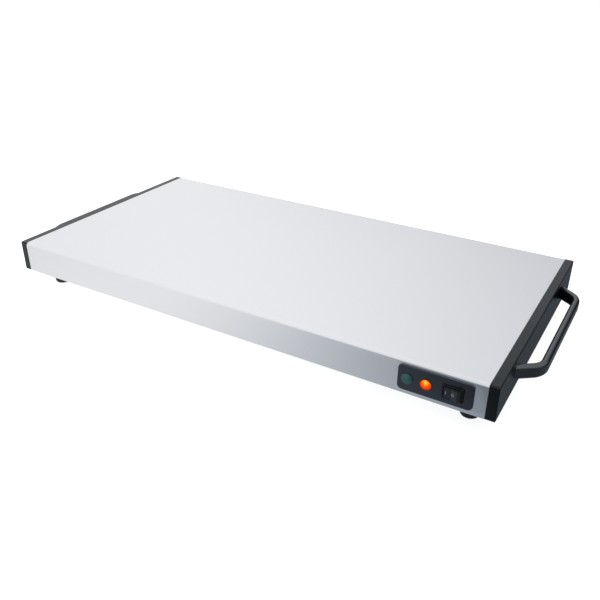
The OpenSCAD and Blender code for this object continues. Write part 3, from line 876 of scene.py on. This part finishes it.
@dataclass
class SteelSkin:
    """Folded sheet that makes the warming surface, the long walls and the return flanges."""

    length: float = 600.0  # length along X
    depth: float = 310.0  # depth along Y
    bottom: float = 22.0  # height of its underside
    top: float = 60.6  # height of the warming surface
    sheet: float = 0.8  # thickness of the sheet
    top_fold: float = 3.5  # outer radius of the top folds
    bottom_fold: float = 1.5  # outer radius of the bottom folds
    flange: float = 12.0  # width of the return flanges
    cutout: Pair = (71.0, 25.0)  # length and height of the opening behind the panel
    inlet: Pair = (250.0, 41.3)  # middle of the opening of the mains inlet along X and Z
    inlet_size: Pair = (12.4, 12.4)  # length and height of that opening

    def build(self, workshop: Workshop) -> None:
        """Builds the skin and puts it in place of its CAD node.

        Args:
            workshop: Where its material is made.
        """
        piece = Workpiece()
        middle = (self.bottom + self.top) / 2
        piece.block((self.length, self.depth, self.top - self.bottom), (0, 0, middle))
        piece.round_off(piece.edges_along(Axis.X, lambda m: m.z > middle), self.top_fold, 8)
        piece.round_off(piece.edges_along(Axis.X, lambda m: m.z < middle), self.bottom_fold, 4)
        piece.drop(piece.facing(Axis.X, -1) + piece.facing(Axis.X, 1))
        mouth = self.depth / 2 - self.flange
        for edge in (-mouth, mouth):
            piece.cut(piece.facing(Axis.Z, -1), (0, edge, 0), (0, 1, 0))
        piece.drop(piece.facing(Axis.Z, -1, lambda m: abs(m.y) < mouth))
        self._cut_window(piece, -1, (PANEL_CENTRE[0], PANEL_CENTRE[2]), self.cutout)
        self._cut_window(piece, 1, self.inlet, self.inlet_size)
        piece.finish(
            "steel_skin", "brushed_stainless", workshop, replaced=("top_shell",), wall=self.sheet
        )

    @staticmethod
    def _cut_window(piece: Workpiece, wall: int, middle: Pair, size: Pair) -> None:
        """Cuts a rectangular window in a long wall.

        Args:
            piece: The skin.
            wall: The sign of Y of the wall.
            middle: The middle of the window along X and Z.
            size: Its length and height.
        """
        (x, z), half_x, half_z = middle, size[0] / 2, size[1] / 2
        for edge in (x - half_x, x + half_x):
            piece.cut(piece.facing(Axis.Y, wall), (edge, 0, 0), (1, 0, 0))
        for edge in (z - half_z, z + half_z):
            piece.cut(piece.facing(Axis.Y, wall), (0, 0, edge), (0, 0, 1))
        piece.drop(
            piece.facing(Axis.Y, wall, lambda m: abs(m.x - x) < half_x and abs(m.z - z) < half_z)
        )


@dataclass
class EndCap:
    """Moulded end of the tray, with a spigot that fits inside the steel."""

    side: Side  # the end that it closes
    inner: float = 300.0  # distance of the steel's end from the middle of the tray
    length: float = 10.0  # how far the cap stands out past the steel
    depth: float = 310.0  # depth along Y
    bottom: float = 22.0  # height of its lower edge
    top: float = 60.6  # height of its upper edge
    corner: float = 2.0  # radius of its four corners, seen from the end
    edge: float = 1.2  # radius of the edge round its outer face
    shoulder: float = 0.95  # width of the step where it meets the steel
    spigot: float = 10.0  # length of the spigot
    wall: float = 2.5  # thickness of the spigot's wall
    face: float = 3.5  # thickness of the outer face

    def build(self, workshop: Workshop) -> None:
        """Builds the cap and puts it in place of its CAD node.

        Args:
            workshop: Where its material is made.
        """
        piece = Workpiece()
        middle = (self.inner + self.length / 2, 0, (self.bottom + self.top) / 2)
        piece.block((self.length, self.depth, self.top - self.bottom), middle)
        piece.round_off(piece.edges_along(Axis.X), self.corner, 6)
        piece.round_off(piece.edges_at(Axis.X, self.inner + self.length), self.edge, 6)
        seat = piece.flat(Axis.X, -1)
        piece.inset(seat, self.shoulder)
        seat = piece.push(seat, (-self.spigot, 0, 0))
        piece.inset(seat, self.wall)
        piece.push(seat, (self.spigot + self.length - self.face, 0, 0))
        piece.mirror_to(self.side)
        name = self.side.name.lower()
        piece.finish(f"{name}_cap", "cap_plastic", workshop, replaced=(f"{name}_end_cap",))


@dataclass
class LoopHandle:
    """Bent loop handle whose section is an upright slot shape."""

    side: Side  # the end of the tray that it is on
    grip_x: float = 330.9  # distance of the grip's middle line from the middle of the tray
    root_x: float = 305.4  # where its legs end inside the cap
    corner_y: float = 79.6  # half the distance between the corners of the middle line
    height: float = 43.7  # height of the middle line
    bend: float = 20.2  # radius of the bends on the middle line
    thickness: float = 7.8  # thickness of the section
    tall: float = 15.4  # height of the section
    slope: float = 0.75  # how far a leg leans, as a rise of Y for each step of X

    def build(self, workshop: Workshop) -> None:
        """Builds the handle and puts it in place of its CAD node.

        Args:
            workshop: Where its material is made.
        """
        piece = Workpiece()
        root_y = self.corner_y + (self.grip_x - self.root_x) * self.slope
        root = Vector((self.root_x, root_y, self.height))
        corner = Vector((self.grip_x, self.corner_y, self.height))
        leg = corner - root
        along = leg.normalized()
        turned = math.pi / 2 - math.atan(self.slope)
        trim = self.bend * math.tan(turned / 2)
        far_bend = Vector((self.grip_x - self.bend, -self.corner_y + trim, self.height))
        ring = self._section(piece, root, along)
        ring = self._run(piece, ring, along * (leg.length - trim))
        ring = self._turn(piece, ring, corner - Vector((self.bend, trim, 0)), -turned)
        ring = self._run(piece, ring, Vector((0, -2 * (self.corner_y - trim), 0)))
        ring = self._turn(piece, ring, far_bend, -turned)
        self._run(piece, ring, Vector((-along.x, along.y, 0)) * (leg.length - trim))
        bmesh.ops.holes_fill(piece.mesh, edges=piece.mesh.edges, sides=0)
        piece.mirror_to(self.side)
        name = self.side.name.lower()
        piece.finish(f"{name}_loop", "handle_plastic", workshop, replaced=(f"{name}_handle",))

    def _section(self, piece: Workpiece, root: Vector, along: Vector) -> list[Edge]:
        """Draws the section where the first leg starts.

        Args:
            piece: The handle.
            root: The start of the leg.
            along: The way that the leg runs.

        Returns:
            The ring of the section.
        """
        circle = bmesh.ops.create_circle(
            piece.mesh, cap_ends=False, segments=40, radius=self.thickness / 2
        )
        for vert in circle["verts"]:
            vert.co.y += math.copysign((self.tall - self.thickness) / 2, vert.co.y + 1e-6)
        up = Vector((0, 0, 1))
        turned = Matrix((up.cross(along), up, along)).transposed().to_4x4()
        piece.place(Matrix.Translation(root) @ turned)
        return list(piece.mesh.edges)

    @staticmethod
    def _run(piece: Workpiece, ring: list[Edge], way: Vector) -> list[Edge]:
        """Draws the section out along a straight run.

        Args:
            piece: The handle.
            ring: The ring that the run starts at.
            way: How far it goes along X, Y and Z.

        Returns:
            The ring at its far end.
        """
        made = bmesh.ops.extrude_edge_only(piece.mesh, edges=ring)["geom"]
        moved = [item for item in made if isinstance(item, Vert)]
        bmesh.ops.translate(piece.mesh, verts=moved, vec=way)
        return [item for item in made if isinstance(item, Edge)]

    @staticmethod
    def _turn(piece: Workpiece, ring: list[Edge], centre: Vector, angle: float) -> list[Edge]:
        """Spins the section round a bend.

        Args:
            piece: The handle.
            ring: The ring that the bend starts at.
            centre: The centre of the bend.
            angle: Its angle in radians.

        Returns:
            The ring at its far end.
        """
        made = bmesh.ops.spin(
            piece.mesh, geom=ring, cent=centre, axis=(0, 0, 1), angle=angle, steps=12
        )["geom_last"]
        return [item for item in made if isinstance(item, Edge)]


@dataclass
class Foot:
    """Round foot with a well for its screw."""

    name: str  # name of the CAD node that it stands for
    x: float  # its middle along X
    y: float  # its middle along Y
    height: float = 22.8  # its full height
    radius: float = 9.5  # radius at the floor
    top_radius: float = 11.0  # radius at the tray
    edge: float = 2.5  # radius of its lower edge
    well: Pair = (4.3, 12.0)  # radius and depth of the well

    def build(self, workshop: Workshop) -> None:
        """Builds the foot and puts it in place of its CAD node.

        Args:
            workshop: Where its material is made.
        """
        piece = Workpiece()
        piece.drum(self.radius, self.top_radius, self.height, 56)
        piece.round_off(piece.edges_at(Axis.Z, 0.0), self.edge, 6)
        sole = piece.flat(Axis.Z, -1)
        piece.inset(sole, self.radius - self.edge - self.well[0])
        piece.push(sole, (0, 0, self.well[1]))
        piece.place(Matrix.Translation((self.x, self.y, 0)))
        piece.finish(f"{self.name}_pad", "foot_rubber", workshop, replaced=(self.name,))


# ---- the control panel


@dataclass
class ControlPanel:
    """Black plate that carries the lamps and the switch."""

    size: Triple = (74.5, 28.5, 1.5)  # its length, height and thickness
    corner: float = 5.0  # radius of its corners
    edge: float = 0.9  # radius of its front edge

    def build(self, workshop: Workshop) -> None:
        """Builds the plate and puts it in place of its CAD node.

        Args:
            workshop: Where its material is made.
        """
        piece = Workpiece()
        thickness = self.size[2]
        piece.block(self.size, (0, 0, thickness / 2))
        piece.round_off(piece.edges_along(Axis.Z), self.corner, 10)
        piece.round_off(piece.edges_at(Axis.Z, thickness), self.edge, 5)
        piece.place(panel_place(PANEL_CENTRE))
        piece.finish("panel_plate", "panel_plastic", workshop, replaced=("control_fascia",))


@dataclass
class SignalLens:
    """Round lens with a rim and a shallow dome."""

    name: str  # name of the CAD node that it stands for
    slot: str  # its material slot
    centre: Triple  # middle of the lens on the panel's face
    radius: float = 6.2  # radius of the rim
    rim: float = 0.8  # height of the rim
    edge: float = 0.3  # radius of the rim's front edge
    lip: float = 0.55  # width of the rim's lip, with its edge
    rise: float = 2.2  # height of the dome over the rim
    barrel: Pair = (5.0, 9.0)  # radius and length of the barrel behind it
    steps: int = 10  # rings of the dome

    def build(self, workshop: Workshop) -> None:
        """Builds the lens and puts it in place of its CAD node.

        Args:
            workshop: Where its material is made.
        """
        piece = Workpiece()
        piece.drum(self.radius, self.radius, self.rim, 48)
        piece.round_off(piece.edges_at(Axis.Z, self.rim), self.edge, 3)
        back = piece.flat(Axis.Z, -1)
        piece.inset(back, self.radius - self.barrel[0])
        piece.push(back, (0, 0, -self.barrel[1]))
        top = piece.flat(Axis.Z, 1)
        piece.inset(top, self.lip - self.edge)
        reach = self.radius - self.lip
        ball = (reach * reach + self.rise * self.rise) / (2 * self.rise)
        widest = math.asin(reach / ball)
        for step in range(self.steps - 1):
            outer = widest * (1 - step / self.steps)
            inner = widest * (1 - (step + 1) / self.steps)
            piece.inset(
                top,
                ball * (math.sin(outer) - math.sin(inner)),
                ball * (math.cos(inner) - math.cos(outer)),
            )
        bmesh.ops.poke(piece.mesh, faces=[top])
        piece.place(panel_place(self.centre))
        piece.finish(f"{self.name}_dome", self.slot, workshop, replaced=(self.name,), crease=50.0)


@dataclass
class RockerMarks:
    """Stroke and ring printed on the two halves of the rocker."""

    tilt: float = 14.0  # tilt of the rocker at rest, in degrees
    pivot: Triple = (268.9, -155.0, 40.7)  # pivot of the rocker, in the model's frame
    valley: float = 3.916  # height of the rocker's middle over its pivot
    place: Pair = (-5.2, 1.9)  # distance of each mark from the rocker's middle
    stroke: Pair = (0.6, 3.2)  # width and length of the stroke
    corner: float = 0.25  # radius of the stroke's corners
    ring: float = 1.5  # outer radius of the ring
    band: float = 0.5  # width of the ring's line
    skin: float = 0.05  # thickness of the print

    def build(self, workshop: Workshop) -> None:
        """Builds both marks on the rocker's body.

        Args:
            workshop: Where its material is made.
        """
        stroke = Workpiece()
        stroke.block((*self.stroke, self.skin), (0, 0, self.skin / 2))
        stroke.round_off(stroke.edges_along(Axis.Z), self.corner, 4)
        stroke.place(self._seat(self.place[0]))
        stroke.finish("rocker_stroke", "rocker_print", workshop, Body.ROCKER)
        ring = Workpiece()
        ring.drum(self.ring, self.ring, self.skin, 32)
        hubs = [ring.flat(Axis.Z, sign) for sign in (-1, 1)]
        for hub in hubs:
            ring.inset(hub, self.band)
        bmesh.ops.bridge_loops(ring.mesh, edges=[edge for hub in hubs for edge in hub.edges])
        ring.drop(hubs)
        ring.place(self._seat(self.place[1]))
        ring.finish("rocker_ring", "rocker_print", workshop, Body.ROCKER)

    def _seat(self, along: float) -> Matrix:
        """Gives the frame of a mark on the rocker.

        Args:
            along: Its distance to the right of the rocker's middle.

        Returns:
            The frame, with z out of the rocker.
        """
        slope = math.radians(self.tilt)
        half = -slope if along < 0 else slope
        height = self.valley + abs(along) * math.tan(slope)
        return (
            panel_place(self.pivot)
            @ Matrix.Rotation(-slope, 4, "Y")
            @ Matrix.Translation((along, 0, height))
            @ Matrix.Rotation(-half, 4, "Y")
        )


# ---- studio


@dataclass(frozen=True)
class Camera:
    """Camera at the viewpoint of the photograph."""

    place: Triple = (0.40740, -0.66811, 0.41222)  # its place in metres
    azimuth: float = 30.490  # how far it stands to the right of the front, in degrees
    elevation: float = 28.315  # how far it looks down, in degrees
    roll: float = 0.354  # how far it is turned about its own axis, in degrees
    lens: float = 41.098  # focal length for a sensor 36 mm wide

    def build(self) -> None:
        """Adds the camera to the scene."""
        a, e, r = (math.radians(v) for v in (self.azimuth, self.elevation, self.roll))
        back = Vector((math.sin(a) * math.cos(e), -math.cos(a) * math.cos(e), math.sin(e)))
        right = Vector((math.cos(a), math.sin(a), 0))
        up = back.cross(right)
        x_axis = right * math.cos(r) + up * math.sin(r)
        y_axis = up * math.cos(r) - right * math.sin(r)
        data = bpy.data.cameras.new("camera")
        data.lens = self.lens
        data.sensor_width = 36.0
        data.clip_start = 0.01
        made = bpy.data.objects.new("camera", data)
        turned = Matrix((x_axis, y_axis, back)).transposed().to_4x4()
        made.matrix_world = Matrix.Translation(self.place) @ turned
        bpy.context.scene.collection.objects.link(made)
        bpy.context.scene.camera = made


@dataclass(frozen=True)
class Studio:
    """White floor, soft light from above, and the surround that the tray's gloss shows."""

    sky: float = 0.55  # strength of the surround's plain light on the object
    lamp_power: float = 18.0  # power of the overhead lamp in watts
    lamp_size: float = 1.8  # its width in metres
    lamp_place: Triple = (-0.5, 0.3, 1.9)  # its place in metres
    lamp_aim: Triple = (0.0, 0.0, 0.04)  # the point that it shines at
    floor_size: float = 8.0  # width of the floor in metres
    card_height: float = 0.0006  # height of the card that lies on it, in metres
    floor_tone: float = 0.55  # share of light that the floor throws back
    floor_lift: float = 0.84  # the light that the floor adds where the camera sees it
    # the tint of the dark parts of the surround and of the floor's reflection
    shade_tint: Colour = (0.76, 0.87, 1.0, 1.0)
    softbox: Triple = (0.6, 0.0, 0.8)  # the way to the large softbox that gloss shows
    gleam: Triple = (0.12, 0.86, 0.49)  # the way to the small one, low down behind the tray

    def build(self) -> None:
        """Adds the surround, the floor and the lamp."""
        self._surround()
        self._floor()
        self._reflected_floor()
        self._lamp()
        bpy.context.scene.view_settings.view_transform = "Standard"

    def _surround(self) -> None:
        """Makes the world: white to the camera, and dark low down at the right in reflections."""
        world = bpy.data.worlds.new("surround")
        world.use_nodes = True
        bpy.context.scene.world = world
        graph = Graph(world.node_tree)
        seen = graph.rays("Camera")
        gloss = graph.rays("Glossy", "Transmission")
        way = graph.add("ShaderNodeTexCoord").outputs["Generated"]
        way_x, way_y, way_z = graph.parts(way)
        panel = graph.ramp(graph.toward(way, self.softbox), 0.45, 0.90)
        spot = graph.ramp(graph.toward(way, self.gleam), 0.95, 0.995) * 0.15
        dim = graph.ramp(way_x, -0.5, 0.55) * (0.86 - graph.ramp(way_z, -0.2, 0.3) * 0.24)
        right = graph.ramp(way_x, -0.35, 0.10) * (1.0 - graph.ramp(way_z, 0.20, 0.46))
        low = graph.ramp(way_x, -0.75, -0.30) * (1.0 - graph.ramp(way_z, 0.11, 0.35))
        band = graph.math("MAXIMUM", right, low) * graph.ramp(way_y, 0.2, 0.6)
        left = graph.ramp(way_x, -0.74, -0.60) * 0.07 + 0.93
        room = (1.0 - dim) * (1.0 - band * 0.95) * left + spot
        reflected = graph.math("MAXIMUM", room, panel) * 1.04
        level = graph.math("MAXIMUM", seen, gloss * reflected)
        plain = (1.0 - graph.math("MAXIMUM", seen, gloss)) * self.sky
        cool = dim * gloss * (1.0 - panel)
        tint = graph.mix(cool, WHITE, self.shade_tint)
        light = graph.add("ShaderNodeBackground", None, {"Color": tint, "Strength": level + plain})
        graph.add("ShaderNodeOutputWorld", None, {"Surface": light.outputs[0]})

    def _floor(self) -> None:
        """Makes the floor, which shows white with the tray's soft shadow on it."""
        made, graph = new_material("floor")
        seen = graph.rays("Camera", "Transmission")
        tone = (self.floor_tone,) * 3 + (1.0,)
        plain = graph.add("ShaderNodeBsdfDiffuse", None, {"Color": tone})
        lift = graph.add("ShaderNodeEmission", None, {"Strength": seen * self.floor_lift})
        total = graph.add("ShaderNodeAddShader", None, {0: plain.outputs[0], 1: lift.outputs[0]})
        graph.add("ShaderNodeOutputMaterial", None, {"Surface": total.outputs[0]})
        self._card("floor", 0.0, made)

    def _reflected_floor(self) -> None:
        """Lays a card on the floor that only gloss sees: white at the left, dark at the right."""
        made, graph = new_material("reflected_floor")
        x, y, _ = graph.parts(graph.moved((0, 0, 0)))
        front = 1.0 - graph.ramp(y, -160.0, 120.0)
        right = graph.ramp(x, -160.0, 440.0)
        corner = graph.ramp(x, 170.0, 290.0)
        dim = right * front * 0.9 + corner * 0.06
        edge = graph.ramp(x, -430.0, -220.0) * 0.06 + 0.94
        near = graph.ramp(y, -232.0, -178.0) * right * 0.13
        near = near + graph.ramp(y, -248.0, -172.0) * corner * 0.11
        beside = graph.ramp(x, 296.0, 314.0)
        side = graph.ramp(x, 326.0, 350.0) * 0.07 + 0.16
        side = side * (1.0 - graph.ramp(x, 390.0, 470.0) * graph.ramp(y, 0.0, 100.0) * 0.95)
        level = ((1.0 - dim) * edge * 0.94 + near) * (1.0 - beside) + side * beside
        cool = graph.math("MAXIMUM", dim, beside)
        tint = graph.mix(cool, WHITE, self.shade_tint)
        light = graph.add("ShaderNodeEmission", None, {"Color": tint, "Strength": level})
        graph.add("ShaderNodeOutputMaterial", None, {"Surface": light.outputs[0]})
        card = self._card("reflected_floor", self.card_height, made)
        card.visible_camera = False
        card.visible_diffuse = False
        card.visible_shadow = False
        card.visible_transmission = False

    def _card(self, name: str, height: float, made: bpy.types.Material) -> bpy.types.Object:
        """Lays a flat card of the floor's size.

        Args:
            name: Name of the card.
            height: Its height in metres.
            made: Its material.

        Returns:
            The card.
        """
        mesh = bmesh.new()
        matrix = Matrix.Translation((0, 0, height)) @ Matrix.Scale(self.floor_size / 2, 4)
        bmesh.ops.create_grid(mesh, x_segments=1, y_segments=1, size=1.0, matrix=matrix)
        data = bpy.data.meshes.new(name)
        mesh.to_mesh(data)
        mesh.free()
        data.materials.append(made)
        card = bpy.data.objects.new(name, data)
        bpy.context.scene.collection.objects.link(card)
        return card

    def _lamp(self) -> None:
        """Adds the overhead lamp, a square that points at the tray."""
        data = bpy.data.lights.new("overhead", "AREA")
        data.shape = "SQUARE"
        data.size = self.lamp_size
        data.energy = self.lamp_power
        made = bpy.data.objects.new("overhead", data)
        way = Vector(self.lamp_aim) - Vector(self.lamp_place)
        turned = way.to_track_quat("-Z", "Y").to_matrix().to_4x4()
        made.matrix_world = Matrix.Translation(self.lamp_place) @ turned
        made.visible_glossy = False
        made.visible_camera = False
        bpy.context.scene.collection.objects.link(made)


def main() -> None:
    """Builds the studio and the tray's pieces, in order."""
    logging.basicConfig(level=logging.INFO, format="%(name)s: %(message)s")
    workshop = Workshop()
    Camera().build()
    Studio().build()
    workshop.dress_cad_nodes()
    SteelSkin().build(workshop)
    for side in Side:
        EndCap(side).build(workshop)
        LoopHandle(side).build(workshop)
    for row, y in (("front", -FOOT_Y), ("back", FOOT_Y)):
        for side in Side:
            Foot(f"foot_{row}_{side.name.lower()}", side.value * FOOT_X, y).build(workshop)
    ControlPanel().build(workshop)
    SignalLens("ready_lamp_lens", "green_lens", READY_LAMP).build(workshop)
    SignalLens("heating_lamp_lens", "amber_lens", HEATING_LAMP).build(workshop)
    RockerMarks().build(workshop)


if __name__ == "__main__":
    main()
